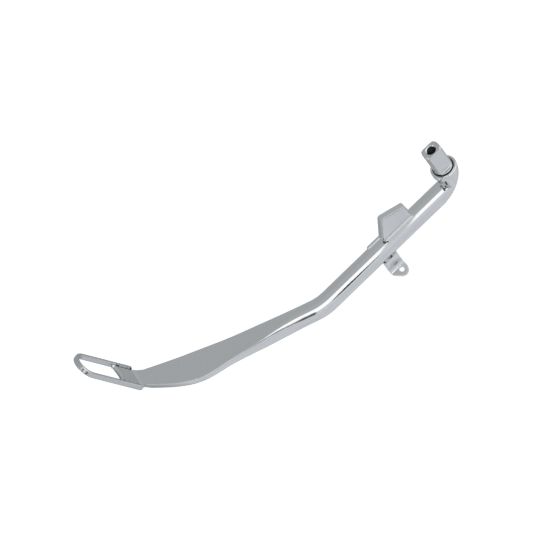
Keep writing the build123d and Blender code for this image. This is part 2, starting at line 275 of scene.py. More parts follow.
def leg_skin():
    """Rings of the leg, from inside the elbow over the bar, bend and blade to the tip of the toe.

    The straight bar and its bend are circles carried along a line and an arc. The blade's rings
    follow the table. The toe's rings turn up a fillet onto the foot's slope and widen to meet
    the loop's arms, and its tip is pulled back in the middle on a circle.
    """
    theta = np.linspace(0, 2 * math.pi, RING, endpoint=False)
    c, s = np.cos(theta), np.sin(theta)

    x = np.linspace(-1.0, -ELBOW_R, 40)[:, None]
    reach = elbow_reach(x, c[None, :], s[None, :])
    elbow = np.stack([x + 0 * reach, reach * c, LEG_Z + reach * s], -1)

    tangent = BEND_R * math.tan(BEND_TURN / 2)
    x = np.linspace(-ELBOW_R - 1.0, BEND_X + tangent, 60)[:, None]
    bar = np.stack([x + 0 * c, BAR_R * c + 0 * x, LEG_Z + BAR_R * s + 0 * x], -1)

    turn = np.linspace(0, BEND_TURN, 34)[1:-1, None]
    radius = BEND_R - BAR_R * c[None, :]
    bend = np.stack(
        [
            BEND_X + tangent - radius * np.sin(turn),
            BEND_R - radius * np.cos(turn),
            LEG_Z + BAR_R * s + 0 * turn,
        ],
        -1,
    )

    at = np.arange(BLADE[0, 0], BLADE[-1, 0], 0.5)
    near, far, flat, thick = table_at(at, BLADE, 14).T[:, :, None]
    y, z = bar_ring(theta, far - near, flat, thick)
    y = y + (near + far) / 2
    blade = CORNER + at[:, None, None] * ALONG + y[..., None] * ACROSS + z[..., None] * UP

    # the top middle line turns up at the foot, from the blade's last ring
    start = CORNER + at[-1] * ALONG + (near[-1] + far[-1]) / 2 * ACROSS + thick[-1] / 2 * UP
    root = FOOT - LOOP_PROUD * LOOP_NORMAL
    leg_run = np.linalg.norm(root - start)
    toe_run, toe_end, tip_circle, tip_depth, tip_half = 24.0, 23.0, 17.5, 3.5, 11
    run = np.arange(0, leg_run + toe_run, 0.3)
    lean = np.clip(run / leg_run, 0, 1)[:, None]
    past = np.clip(run - leg_run, 0, None)[:, None]
    line = eased(start + (root - start) * lean + past * LOOP_OUT, 12)
    line[:1] = start
    up = eased(np.where(past > 0, LOOP_NORMAL, UP), 12)
    up /= np.linalg.norm(up, axis=1, keepdims=True)
    side = eased(np.where(past > 0, -LOOP_SIDE, ACROSS + 0 * up), 16)
    side -= (side * up).sum(1, keepdims=True) * up
    side /= np.linalg.norm(side, axis=1, keepdims=True)
    neck_width, neck_thick, toe_width, toe_thick = 17.2, 5.6, 2 * TOE_HALF + 0.1, 4.0
    where = np.array([0.0, leg_run - 3.0, leg_run + 2.0])
    size = np.stack(
        [
            np.interp(run, where, [(far - near)[-1, 0], neck_width, toe_width]),
            np.interp(run, where, [thick[-1, 0], neck_thick, toe_thick]),
        ],
        -1,
    )
    width, depth = eased(size, 8).T[:, :, None]
    both_sides = 1.2
    y, z = bar_ring(theta, width, width - both_sides, depth)
    across_tip = np.clip(np.abs(y[-1:]), 0, tip_half)
    hollow = tip_depth - (tip_circle - np.sqrt(tip_circle**2 - across_tip**2))
    pull = np.clip((run[:, None] - leg_run) / toe_end, 0, 1) * np.clip(hollow, 0, None)
    toe = (
        line[:, None]
        + y[..., None] * side[:, None]
        + (z - depth / 2)[..., None] * up[:, None]
        - pull[..., None] * LOOP_OUT
    )
    toe = toe[4:]
    middle = toe[-1] - z[-1][:, None] * up[-1]
    tip = np.stack([toe[-1] + 0.25 * LOOP_OUT + 0.2 * (middle - toe[-1]), middle + 0.3 * LOOP_OUT])
    return np.concatenate([elbow, bar, bend, blade, toe, tip])


def foot_loop_skin():
    """Rings of the foot loop: a rounded rectangle carried along two arms and a half circle."""
    wall, depth, reach, outer, corner = 3.55, 5.2, 62.2, 14.1, 1.15
    middle = outer - wall / 2
    steps = 60
    arm = np.linspace(0, reach, steps)
    bow = np.linspace(-math.pi / 2, math.pi / 2, 64)[1:-1]
    path = np.concatenate(
        [
            np.stack([arm, np.full(steps, -middle)], -1),
            np.stack([reach + middle * np.cos(bow), middle * np.sin(bow)], -1),
            np.stack([arm[::-1], np.full(steps, middle)], -1),
        ]
    )
    normal = np.concatenate(
        [
            np.tile([0.0, -1.0], (steps, 1)),
            np.stack([np.cos(bow), np.sin(bow)], -1),
            np.tile([0.0, 1.0], (steps, 1)),
        ]
    )
    loop = even_steps(rounded_box_loop(wall / 2, depth / 2, corner, 9), 72, True)
    # the cut ends are drawn in a little
    ease = np.ones(len(path))
    ease[[0, -1]] = 0.84
    centre = FOOT + path[:, :1] * LOOP_OUT + path[:, 1:] * LOOP_SIDE
    middle_drop = LOOP_PROUD - depth / 2
    across = normal[:, :1] * LOOP_OUT + normal[:, 1:] * LOOP_SIDE
    return (
        centre[:, None, :]
        + (loop[None, :, 0, None] * ease[:, None, None]) * across[:, None, :]
        + (middle_drop + loop[None, :, 1, None] * ease[:, None, None]) * LOOP_NORMAL
    )


# ---------------------------------------------------------------- tabs
def rounded_outline(points, radii, steps=10):
    """A polygon's outline with each corner an arc of its own radius that touches both sides."""
    out = []
    for i, (corner, radius) in enumerate(zip(points, radii)):
        before = points[i - 1] - corner
        after = points[(i + 1) % len(points)] - corner
        a = before / np.linalg.norm(before)
        b = after / np.linalg.norm(after)
        half = math.acos(np.clip(a @ b, -1, 1)) / 2
        cut = radius / math.tan(half)
        bisector = (a + b) / np.linalg.norm(a + b)
        centre = corner + bisector * radius / math.sin(half)
        start = corner + a * cut - centre
        stop = corner + b * cut - centre
        t = np.linspace(0, 1, steps)[:, None]
        mix = start * (1 - t) + stop * t
        out.append(centre + mix / np.linalg.norm(mix, axis=1, keepdims=True) * radius)
    return np.vstack(out)


def stop_tab_skin():
    """Rings of the stop plate: its outline shrunk to the middle of each face, eased at the edge."""
    corners = np.array([(-84.2, 7.0), (-84.2, 12.5), (-74.2, 36.5), (-49.4, 26.8), (-48.3, 7.0)])
    outline = even_steps(rounded_outline(corners, [0.5, 1.5, 2.4, 1.3, 0.5]), 240, True)
    centre = outline.mean(0)
    away = outline - centre
    length = np.linalg.norm(away, axis=1, keepdims=True)
    edge, half, rings = 0.7, PLATE_HALF, 12
    turn = np.linspace(0, math.pi / 2, 7)
    inset = np.concatenate([edge * (1 - np.sin(turn)), edge * (1 - np.sin(turn[::-1]))])
    depth = np.concatenate(
        [-(half - edge + edge * np.cos(turn)), half - edge + edge * np.cos(turn[::-1])]
    )
    faces = np.linspace(0.05, 0.97, rings)
    near = centre + away[None] * faces[:, None, None]
    rim = centre + away[None] * (1 - inset[:, None, None] / length[None])
    far = near[::-1]
    flat = np.concatenate([near, rim, far])
    y = PLATE_MIDDLE + np.concatenate([np.full(rings, -half), depth, np.full(rings, half)])
    return np.stack(
        [flat[..., 0], np.broadcast_to(y[:, None], flat.shape[:2]), LEG_Z + flat[..., 1]], -1
    )


SHEET = 3.0
TAB_X = -89.2
TAB_BEND = np.array([TAB_X, -6.0, LEG_Z - 24.0])
FALL = math.radians(25.0)
WEB_TOP = 20.0
TAB_BEND_R = 5.5


def on_the_sheet(x, run, lift):
    """Where a point of the flat blank goes once the sheet is bent.

    x is across the tab. run is the distance along the sheet, with its zero one tangent length
    past the start of the bend's arc. lift is the height over the sheet's middle, on its near side.
    """
    turn = math.pi / 2 - FALL
    cut = TAB_BEND_R * math.tan(turn / 2)
    arc = TAB_BEND_R * turn
    down = np.array([0.0, 0.0, -1.0])
    near = np.array([0.0, -1.0, 0.0])
    start = TAB_BEND - down * cut
    centre = start + near * TAB_BEND_R
    at = run + cut
    angle = np.clip(at / arc, 0, 1) * turn
    radial = -near * np.cos(angle)[..., None] + down * np.sin(angle)[..., None]
    tangent = near * np.sin(angle)[..., None] + down * np.cos(angle)[..., None]
    on_arc = centre + radial * TAB_BEND_R
    past = np.where(at < 0, at, np.clip(at - arc, 0, None))
    base = on_arc + tangent * past[..., None]
    base[..., 0] = TAB_X + x
    return base - radial * lift[..., None]


def spring_tab_skin():
    """Rings of the spring tab, bent from a flat blank with a hole.

    A ring of points round the hole is carried out to the blank's outline over one face, round
    the eased edge, back over the other face and through the hole. The blank is then bent.
    """
    cut = TAB_BEND_R * math.tan((math.pi / 2 - FALL) / 2)
    arc = TAB_BEND_R * (math.pi / 2 - FALL)
    hole = np.array([2.2, 6.4 - 2 * cut + arc])
    shift = arc - 2 * cut
    ear, left, right, slope_start, grid = 6.2, 7.5, 8.6, 4.6, 88
    turn = np.linspace(0, math.pi, 40)
    corners = np.array([(-left, -WEB_TOP), (-left, slope_start + shift)])
    lower = hole + ear * np.stack([np.cos(turn[::-1]), np.sin(turn[::-1])], -1)
    slope = lower - corners[1]
    tangent_turn = np.arctan2(slope[:, 1], slope[:, 0])
    first = int(np.argmax(tangent_turn))
    outline = np.vstack([corners, lower[first:], [(right, -WEB_TOP)]])
    outline = even_steps(outline, 900, True)
    around = outline - hole
    angle = np.unwrap(np.arctan2(around[:, 1], around[:, 0]))
    distance = np.linalg.norm(around, axis=1)
    order = np.argsort(np.mod(angle, 2 * math.pi))
    wanted = np.linspace(0, 2 * math.pi, 360, endpoint=False)
    reach = np.interp(wanted, np.mod(angle, 2 * math.pi)[order], distance[order], period=2 * math.pi)
    hole_r, edge, half = 2.2, 0.45, SHEET / 2
    bend = np.linspace(0, math.pi / 2, 5)
    out = np.linspace(0, 1, grid + 2)[1:-1]
    inner = hole_r + edge
    outer = reach - edge
    top = inner + (outer - inner)[None] * out[:, None]
    rim = outer[None] + edge * np.sin(bend)[:, None]
    hole_edge = inner - edge * np.sin(bend)[::-1, None] + 0 * reach[None]
    radius = np.concatenate([hole_edge, top, rim, rim[::-1], top[::-1], hole_edge[::-1]])
    lift_in = (half - edge) + edge * np.cos(bend)[::-1]
    lift_out = (half - edge) + edge * np.cos(bend)
    lift = np.concatenate(
        [lift_in, np.full(grid, half), lift_out, -lift_out[::-1], np.full(grid, -half), -lift_in[::-1]]
    )
    x = hole[0] + radius * np.cos(wanted)
    run = hole[1] + radius * np.sin(wanted)
    lift = np.broadcast_to(lift[:, None], x.shape)
    return on_the_sheet(x, run, lift)


# ---------------------------------------------------------------- welds
def bead_skin(path, width, height, out, seed, pitch, rough):
    """Rings of a weld bead along a path: a half-round crown over a buried foot.

    rough is how far the crown's radius swells, as a share of it.
    The crown's radius swells and falls once each pitch along the bead, leans back like a scale,
    and wanders a little. The ends fall away as a quarter ellipse.
    """
    rings = 160
    points = even_steps(path, rings, False)
    outs = even_steps(out, rings, False) if out.ndim == 2 else np.tile(out, (rings, 1))
    along = np.gradient(points, axis=0)
    along /= np.linalg.norm(along, axis=1, keepdims=True)
    outs = outs - (outs * along).sum(1, keepdims=True) * along
    outs /= np.linalg.norm(outs, axis=1, keepdims=True)
    side = np.cross(along, outs)
    run = np.concatenate([[0], np.cumsum(np.linalg.norm(np.diff(points, axis=0), axis=1))])
    total = run[-1]
    end = np.clip(np.minimum(run, total - run) / (0.5 * width), 0, 1)
    end = np.sqrt(np.clip(1 - (1 - end) ** 2, 0.02, 1))
    theta = np.linspace(0, 2 * math.pi, 28, endpoint=False)
    c, s = np.cos(theta)[None], np.sin(theta)[None]
    scale = 1 + 0.7 * rough * np.sin(2 * math.pi * (run[:, None] / pitch + 0.25 * np.abs(c)))
    scale = scale + rough * ripple(run[:, None] + 0 * c, c + 0 * run[:, None], seed)
    scale = scale * end[:, None]
    return (
        points[:, None]
        + (width / 2 * c * scale)[..., None] * side[:, None]
        + (height * s * scale)[..., None] * outs[:, None]
    )


def bar_top(y):
    """Height of the bar's skin over its axis at y."""
    return math.sqrt(BAR_R**2 - y**2)


# ---------------------------------------------------------------- pivot shank
SHANK_R = 9.25
THREAD_RINGS = 300
# radius and height of the round lower end: shoulder, journal, ring groove and end face
JOURNAL = np.array(
    [
        (9.25, -29.8),
        (9.25, -31.6),
        (9.25, -33.4),
        (9.2, -33.5),
        (6.5, -33.5),
        (6.5, -34.0),
        (6.5, -41.8),
        (6.3, -41.9),
        (6.25, -42.0),
        (6.25, -43.2),
        (6.3, -43.3),
        (6.5, -43.4),
        (6.5, -44.2),
        (6.3, -44.4),
        (0.02, -44.4),
    ]
)
# radius and height of the countersink, from the thread up to the end face
SINK = np.array([(3.98, -1.2), (4.25, -0.9), (4.6, -0.55), (4.93, -0.2), (5.04, -0.04), (5.12, 0.0)])


def shank_skin():
    """Rings of the pivot shank, from the bottom of its tapped hole over the end face and down.

    Round the axis the outline is a circle cut by two pairs of flats, with the smaller of the
    three distances eased by a power mean. The tapped hole's wall has a 16 per inch thread: its
    radius follows a triangle wave of height less a sixteenth of an inch per turn.
    """
    count, depth, centre_r = 192, 24.0, 0.02
    wide, narrow, ease = 8.75, 6.35, 60.0
    chamfer, rounding = 0.8, 0.25
    flat_end, run_out = -28.6, 0.9
    pitch, minor, crest = 25.4 / 16, 3.97, 0.78
    theta = np.linspace(0, 2 * math.pi, count, endpoint=False)
    c, s = np.abs(np.cos(theta)), np.abs(np.sin(theta))
    flats = ((c / wide) ** ease + (s / narrow) ** ease + (1 / SHANK_R) ** ease) ** (-1 / ease)
    limit = np.minimum(flats, SHANK_R - chamfer)
    rows = []

    def add(radius, height):
        shape = np.broadcast_shapes(radius.shape, height.shape, (1, count))
        rows.append((np.broadcast_to(radius, shape), np.broadcast_to(height, shape)))

    add(np.full((1, 1), centre_r), np.full((1, 1), -depth))
    z = np.linspace(-depth, -1.3, THREAD_RINGS)[:, None]
    phase = np.mod(z / pitch - theta[None] / (2 * math.pi), 1)
    add(minor + np.clip(1.25 * (1 - np.abs(2 * phase - 1)) - 0.15, 0, 1) * crest, z)
    add(SINK[:, :1], SINK[:, 1:])
    face = np.linspace(0.1, 0.93, 8)[:, None]
    mouth = SINK[-1, 0]
    add(mouth + (limit[None] - rounding - mouth) * face, np.zeros((8, 1)))
    edge = np.linspace(0, math.pi / 2, 5)[:, None]
    add(limit[None] - rounding + rounding * np.sin(edge), -rounding + rounding * np.cos(edge))
    slope_z = np.array([-0.45, -0.65, -0.8, -0.95, -1.15])[:, None]
    add(np.minimum(flats[None], SHANK_R - chamfer + np.clip(-slope_z, 0, chamfer)), slope_z)
    add(flats[None], np.linspace(-1.4, flat_end, 40)[:, None])
    # short curved run-out from the flats back to the full bar
    out = np.linspace(0, 1, 8)[:, None]
    add(flats[None] + (SHANK_R - flats[None]) * out**2, flat_end - run_out * out)
    add(JOURNAL[:, :1], JOURNAL[:, 1:])
    r = np.concatenate([radius for radius, _ in rows])
    z = np.concatenate([height for _, height in rows])
    return np.stack([r * np.cos(theta), r * np.sin(theta), z], -1)


# ---------------------------------------------------------------- weld smoke and painted shade
# places darkened in the colour, and how far each reaches, in millimetres: weld smoke at the bead ends, and
# painted shade where the bar meets the collar and at the stop plate's corner
SMOKE_AND_SHADE = (
    # painted shade in the gap at the stop plate's lower left corner, over its weld crater
    (-84.2, -3.0, LEG_Z + 9.4, 2.6),
    (-81.6, -4.2, LEG_Z + 8.6, 2.0),
    # painted shade in the pocket and the notch where the bar meets the pivot's collar
    (-12.0, -5.7, LEG_Z + 7.7, 3.4),
    (-9.4, 3.4, LEG_Z + 9.0, 2.6),
    # weld smoke at the ends of the spring tab's and the foot's beads
    (TAB_X - 6.6, -8.0, LEG_Z - 6.4, 2.6),
    (TAB_X + 1.6, -8.0, LEG_Z - 6.2, 2.2),
    (*(FOOT + 21.5 * LOOP_OUT + 9.6 * LOOP_SIDE), 2.6),
    (*(FOOT + 19.5 * LOOP_OUT - 10.2 * LOOP_SIDE), 2.4),
    (*(FOOT + 1.6 * LOOP_OUT - 10.6 * LOOP_SIDE), 2.4),
)


def smoked_and_shaded(piece):
    """Mark how near each vertex is to the places of weld smoke and painted shade: 1 near the middle, 0 past
    the reach.
    """
    mesh = piece.data
    at = np.empty(len(mesh.vertices) * 3, np.float32)
    mesh.vertices.foreach_get("co", at)
    spots = np.array(SMOKE_AND_SHADE)
    gap = np.linalg.norm(at.reshape(-1, 1, 3) / MM - spots[:, :3], axis=2)
    steep = 1.4
    near = np.clip(steep - steep * gap / spots[:, 3], 0, 1).max(axis=1).astype(np.float32)
    # the attribute holds weld smoke and painted shade together
    mesh.attributes.new("soot_and_shade", "FLOAT", "POINT").data.foreach_set("value", near)
    return piece


# ---------------------------------------------------------------- shader groups
def new_group(name, inputs, outputs):
    """An empty shader node group with float inputs and typed outputs, and its end nodes."""
    group = bpy.data.node_groups.new(name, "ShaderNodeTree")
    for label, default in inputs:
        socket = group.interface.new_socket(label, in_out="INPUT", socket_type="NodeSocketFloat")
        socket.default_value = default
    for label, kind in outputs:
        group.interface.new_socket(label, in_out="OUTPUT", socket_type=kind)
    return group, group.nodes.new("NodeGroupInput"), group.nodes.new("NodeGroupOutput")


def put(tree, kind, **values):
    """A node of that kind, with its settings and its sockets' own values."""
    node = tree.nodes.new(kind)
    for key, value in values.items():
        if key.startswith("in_"):
            slot = key[3:].replace("_", " ")
            node.inputs[int(slot) if slot.isdigit() else slot].default_value = value
        else:
            setattr(node, key, value)
    return node


def plating_group():
    """Haze and waviness of plated steel: a slow wave, a fine grain and faint polishing lines.

    Stretch lengthens the pattern along X. Out come a roughness, a shade and a normal.
    """
    group, given, out = new_group(
        "plating",
        [("Smooth", 0.06), ("Haze", 0.05), ("Wave", 0.03), ("Grain", 0.02), ("Stretch", 0.2)],
        [("Roughness", "NodeSocketFloat"), ("Shade", "NodeSocketFloat"), ("Normal", "NodeSocketVector")],
    )
    link = group.links.new
    place = put(group, "ShaderNodeTexCoord")
    lean = put(group, "ShaderNodeCombineXYZ", in_Y=1.0, in_Z=1.0)
    link(given.outputs["Stretch"], lean.inputs["X"])
    scaled = put(group, "ShaderNodeVectorMath", operation="MULTIPLY")
    link(place.outputs["Object"], scaled.inputs[0])
    link(lean.outputs[0], scaled.inputs[1])
    slow = put(group, "ShaderNodeTexNoise", in_Scale=70.0, in_Detail=2.0)
    fine = put(group, "ShaderNodeTexNoise", in_Scale=900.0, in_Detail=4.0)
    lines = put(group, "ShaderNodeTexNoise", in_Scale=2600.0, in_Detail=2.0)
    link(place.outputs["Object"], slow.inputs["Vector"])
    link(place.outputs["Object"], fine.inputs["Vector"])
    link(scaled.outputs[0], lines.inputs["Vector"])
    haze = put(group, "ShaderNodeMath", operation="MULTIPLY_ADD")
    link(slow.outputs["Fac"], haze.inputs[0])
    link(given.outputs["Haze"], haze.inputs[1])
    link(given.outputs["Smooth"], haze.inputs[2])
    link(haze.outputs[0], out.inputs["Roughness"])
    shade = put(group, "ShaderNodeMapRange", in_1=0.3, in_2=0.7, in_3=0.94, in_4=1.0)
    link(fine.outputs["Fac"], shade.inputs[0])
    link(shade.outputs[0], out.inputs["Shade"])
    wave = put(group, "ShaderNodeBump", in_Distance=0.001)
    link(given.outputs["Wave"], wave.inputs["Strength"])
    link(slow.outputs["Fac"], wave.inputs["Height"])
    grain = put(group, "ShaderNodeBump", in_Distance=0.0001)
    link(given.outputs["Grain"], grain.inputs["Strength"])
    link(lines.outputs["Fac"], grain.inputs["Height"])
    link(wave.outputs[0], grain.inputs["Normal"])
    link(grain.outputs[0], out.inputs["Normal"])
    return group


def soot_and_shade_group():
    """Dark spots beside a weld, weld spatter and painted shade: a noise, raised by Near, that is cut off
    high into spots.
    """
    group, given, out = new_group(
        "weld_soot_and_shade",
        [("Size", 420.0), ("Cover", 0.5), ("Near", 0.0)],
        [("Mask", "NodeSocketFloat")],
    )
    link = group.links.new
    place = put(group, "ShaderNodeTexCoord")
    noise = put(group, "ShaderNodeTexNoise", in_Detail=3.0)
    link(place.outputs["Object"], noise.inputs["Vector"])
    link(given.outputs["Size"], noise.inputs["Scale"])
    cut = put(group, "ShaderNodeMapRange")
    top = put(group, "ShaderNodeMath", operation="ADD", in_1=0.18)
    link(given.outputs["Cover"], top.inputs[0])
    link(top.outputs[0], cut.inputs[2])
    link(given.outputs["Cover"], cut.inputs[1])
    raised = put(group, "ShaderNodeMath", operation="MULTIPLY_ADD", in_1=0.5)
    link(given.outputs["Near"], raised.inputs[0])
    link(noise.outputs["Fac"], raised.inputs[2])
    link(raised.outputs[0], cut.inputs[0])
    link(cut.outputs[0], out.inputs["Mask"])
    return group


def metal(name, colour, plating, smooth, haze, wave, grain, stretch, soot_and_shade=None, cover=0.6):
    """A plated or bare metal: its own colour and values, with the shared haze and grain."""
    material = bpy.data.materials.new(name)
    material.use_nodes = True
    tree = material.node_tree
    shader = tree.nodes["Principled BSDF"]
    shader.inputs["Metallic"].default_value = 1.0
    group = put(tree, "ShaderNodeGroup", node_tree=plating)
    values = {"Smooth": smooth, "Haze": haze, "Wave": wave, "Grain": grain, "Stretch": stretch}
    for key, value in values.items():
        group.inputs[key].default_value = value
    tint = put(tree, "ShaderNodeMix", data_type="RGBA", blend_type="MULTIPLY")
    tint.inputs["Factor"].default_value = 1.0
    tint.inputs[6].default_value = (*colour, 1)
    tree.links.new(group.outputs["Shade"], tint.inputs[7])
    last = tint.outputs[2]
    # near the marked places the colour darkens into spots: weld smoke, and painted shade in the crease,
    # notch and plate corner
    if soot_and_shade:
        spots = put(tree, "ShaderNodeGroup", node_tree=soot_and_shade)
        spots.inputs["Cover"].default_value = cover
        near = put(tree, "ShaderNodeAttribute", attribute_name="soot_and_shade")
        tree.links.new(near.outputs["Fac"], spots.inputs["Near"])
        darker = put(tree, "ShaderNodeMix", data_type="RGBA")
        darker.inputs[7].default_value = (0.055, 0.05, 0.045, 1)
        tree.links.new(spots.outputs["Mask"], darker.inputs["Factor"])
        tree.links.new(last, darker.inputs[6])
        last = darker.outputs[2]
    tree.links.new(last, shader.inputs["Base Color"])
    tree.links.new(group.outputs["Roughness"], shader.inputs["Roughness"])
    tree.links.new(group.outputs["Normal"], shader.inputs["Normal"])
    return material


def rubber(name, colour):
    """Matt seal rubber: nearly black, with a fine grain in its colour and surface."""
    material = bpy.data.materials.new(name)
    material.use_nodes = True
    tree = material.node_tree
    shader = tree.nodes["Principled BSDF"]
    place = put(tree, "ShaderNodeTexCoord")
    noise = put(tree, "ShaderNodeTexNoise", in_Scale=1400.0, in_Detail=3.0)
    tree.links.new(place.outputs["Object"], noise.inputs["Vector"])
    mix = put(tree, "ShaderNodeMix", data_type="RGBA")
    mix.inputs[6].default_value = (*[v * 0.6 for v in colour], 1)
    mix.inputs[7].default_value = (*[v * 1.6 for v in colour], 1)
    tree.links.new(noise.outputs["Fac"], mix.inputs["Factor"])
    tree.links.new(mix.outputs[2], shader.inputs["Base Color"])
    rough = put(tree, "ShaderNodeMapRange", in_3=0.6, in_4=0.8)
    tree.links.new(noise.outputs["Fac"], rough.inputs[0])
    tree.links.new(rough.outputs[0], shader.inputs["Roughness"])
    bump = put(tree, "ShaderNodeBump", in_Strength=0.25, in_Distance=0.0002)
    tree.links.new(noise.outputs["Fac"], bump.inputs["Height"])
    tree.links.new(bump.outputs[0], shader.inputs["Normal"])
    return material


def stock():
    """The finishes, made once and found again by name."""
    made = bpy.data.materials
    if "chrome_plate" not in made:
        look = bpy.context.scene.kickstand_finish
        plating = plating_group()
        soot_and_shade = soot_and_shade_group()
        metal("chrome_plate", look.chrome, plating, look.polish, 0.05, 0.07, 0.05, 0.15, soot_and_shade, 0.80)
        metal("chrome_foot", look.foot, plating, look.polish + 0.1, 0.1, 0.07, 0.1, 0.5, soot_and_shade, 0.80)
        metal("chrome_flats", look.flats, plating, look.polish + 0.08, 0.1, 0.10, 0.25, 1.0)
        metal("weld_bead", look.bead, plating, 0.16, 0.15, 0.3, 0.3, 1.0, soot_and_shade, 0.52)
        # the tapped hole's wall is coloured nearly black: painted shade inside the hole
        metal("thread_steel_painted_shade", (0.035, 0.035, 0.035), plating, 0.35, 0.1, 0.1, 0.4, 1.0, soot_and_shade, 0.45)
        metal("washer_steel", (0.55, 0.56, 0.57), plating, 0.3, 0.1, 0.05, 0.3, 1.0)
        metal("ring_steel", (0.34, 0.35, 0.37), plating, 0.3, 0.1, 0.05, 0.2, 1.0)
        metal("bush_bronze", (0.72, 0.52, 0.27), plating, 0.35, 0.12, 0.05, 0.4, 1.0)
        rubber("seal_rubber", look.rubber)
    return made


# ---------------------------------------------------------------- settings
class KickstandFinish(bpy.types.PropertyGroup):
    chrome: FloatVectorProperty(
        name="Chrome", description="Colour of the plating", subtype="COLOR",
        default=(0.81, 0.813, 0.825), min=0, max=1,
    )
    flats: FloatVectorProperty(
        name="Shank", description="Colour of the shank's plating", subtype="COLOR",
        default=(0.78, 0.79, 0.80), min=0, max=1,
    )
    foot: FloatVectorProperty(
        name="Foot", description="Colour of the foot loop's plating", subtype="COLOR",
        default=(0.67, 0.68, 0.69), min=0, max=1,
    )
    bead: FloatVectorProperty(
        name="Welds", description="Colour of the weld beads", subtype="COLOR",
        default=(0.62, 0.63, 0.63), min=0, max=1,
    )
    rubber: FloatVectorProperty(
        name="Seal", description="Colour of the rubber seal", subtype="COLOR",
        default=(0.02, 0.02, 0.02), min=0, max=1,
    )
    polish: FloatProperty(
        name="Polish", description="Roughness of the smoothest plating", default=0.06, min=0, max=1,
    )


class KickstandWelds(bpy.types.PropertyGroup):
    height: FloatProperty(
        name="Crown", description="Height of a bead's crown, in millimetres",
        default=1.0, min=0.2, max=3,
    )
    pitch: FloatProperty(
        name="Ripple pitch", description="Distance between ripples, in millimetres",
        default=1.5, min=0.5, max=4,
    )


class KickstandStage(bpy.types.PropertyGroup):
    lens: FloatProperty(
        name="Lens", description="Focal length in millimetres", default=1000.0, min=50, max=1000,
    )
    floor_gap: FloatProperty(
        name="Floor gap", description="Drop from the part to the floor", default=0.08, unit="LENGTH", min=0,
    )
    floor_size: FloatProperty(
        name="Floor size", description="Side of the square floor", default=14.0, unit="LENGTH", min=1,
    )


# ---------------------------------------------------------------- operators
class KICKSTAND_OT_leg(bpy.types.Operator):
    """Make the leg's bar, bend, blade and turned-up toe"""

    bl_idname = "kickstand.leg"
    bl_label = "Leg and toe"

    def execute(self, context):
        chrome = stock()["chrome_plate"]
        leg = tube_piece("leg_and_blade", leg_skin(), chrome, "leg")
        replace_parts(smoked_and_shaded(leg), "leg_bar")
        return {"FINISHED"}


class KICKSTAND_OT_foot(bpy.types.Operator):
    """Make the foot loop"""

    bl_idname = "kickstand.foot"
    bl_label = "Foot loop"

    def execute(self, context):
        loop = tube_piece("foot_hoop", foot_loop_skin(), stock()["chrome_foot"], "leg")
        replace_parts(smoked_and_shaded(loop), "foot_loop")
        return {"FINISHED"}


class KICKSTAND_OT_tabs(bpy.types.Operator):
    """Make the stop tab and the spring tab"""

    bl_idname = "kickstand.tabs"
    bl_label = "Tabs"

    def execute(self, context):
        chrome = stock()["chrome_plate"]
        stop = tube_piece("stop_plate", stop_tab_skin(), chrome, "leg")
        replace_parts(smoked_and_shaded(stop), "stop_tab")
        ear = ring_piece("spring_ear", spring_tab_skin(), chrome, "leg")
        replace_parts(smoked_and_shaded(ear), "spring_tab")
        return {"FINISHED"}


class KICKSTAND_OT_welds(bpy.types.Operator):
    """Make the weld beads"""

    bl_idname = "kickstand.welds"
    bl_label = "Weld beads"

    def execute(self, context):
        settings = context.scene.kickstand_welds
        bead_stuff = stock()["weld_bead"]
        h, p = settings.height, settings.pitch

        def straight(a, b):
            return np.linspace(np.array(a, float), np.array(b, float), 8)

        near, far = PLATE_MIDDLE - PLATE_HALF, PLATE_MIDDLE + PLATE_HALF
        near_y, near_z = near - 0.7, LEG_Z + bar_top(near) - 0.1
        beads = {
            "stop_weld_near": (
                straight((-82.8, near_y, near_z), (-48.8, near_y, near_z)),
                2.6, 0.95 * h, np.array([0, -0.75, 0.66]), 1.0, 0.06,
            ),
            "stop_weld_far": (
                straight((-98.9, far + 1.6, LEG_Z + 8.0), (-49.4, far + 1.3, LEG_Z + 8.1)),
                4.6, 2.1 * h, np.array([0, 0.62, 0.78]), 2.0, 0.02,
            ),
            "spring_weld_near": (
                straight((TAB_X - 6.9, -8.0, LEG_Z - 6.1), (TAB_X + 8.0, -8.0, LEG_Z - 6.1)),
                3.4, 1.2 * h, np.array([0, -0.9, -0.35]), 3.0, 0.14,
            ),
            "spring_weld_far": (
                straight((TAB_X - 6.9, -3.9, LEG_Z - 9.0), (TAB_X + 8.0, -3.9, LEG_Z - 9.0)),
                3.2, 1.2 * h, np.array([0, 0.6, -0.8]), 4.0, 0.14,
            ),
        }
        for side, name, seed in ((1, "foot_weld_near", 5.0), (-1, "foot_weld_far", 6.0)):
            edge = FOOT + LOOP_SIDE * side * (TOE_HALF - 0.35) + LOOP_NORMAL * 0.05
            beads[name] = (
                np.linspace(edge + LOOP_OUT * 1.0, edge + LOOP_OUT * 18.0, 8),
                1.2, 0.35 * h, LOOP_NORMAL - side * 0.5 * LOOP_SIDE, seed, 0.12,
            )
        reach, neck_r, neck_offset, steps = 7.6, 11.2, 1.7, 60
        y = np.linspace(-reach, reach, steps)
        neck_x = neck_offset - np.sqrt(neck_r**2 - y**2)
        crease = np.stack([neck_x - 0.3, y, LEG_Z + np.sqrt(BAR_R**2 - y**2) + 0.1], -1)
        out = np.stack([np.full(steps, -0.7), 0.35 * y / reach, np.full(steps, 0.7)], -1)
        beads["boss_weld"] = (crease, 4.2, 1.0 * h, out, 7.0, 0.08)
        for name, (path, width, height, out, seed, rough) in beads.items():
            skin = bead_skin(path, width, height, out, seed, p, rough)
            smooth = name.startswith("stop")
            stuff = stock()["chrome_plate"] if smooth else bead_stuff
            bead = tube_piece(name + "_bead", skin, stuff, "leg")
            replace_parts(smoked_and_shaded(bead), name)
        return {"FINISHED"}


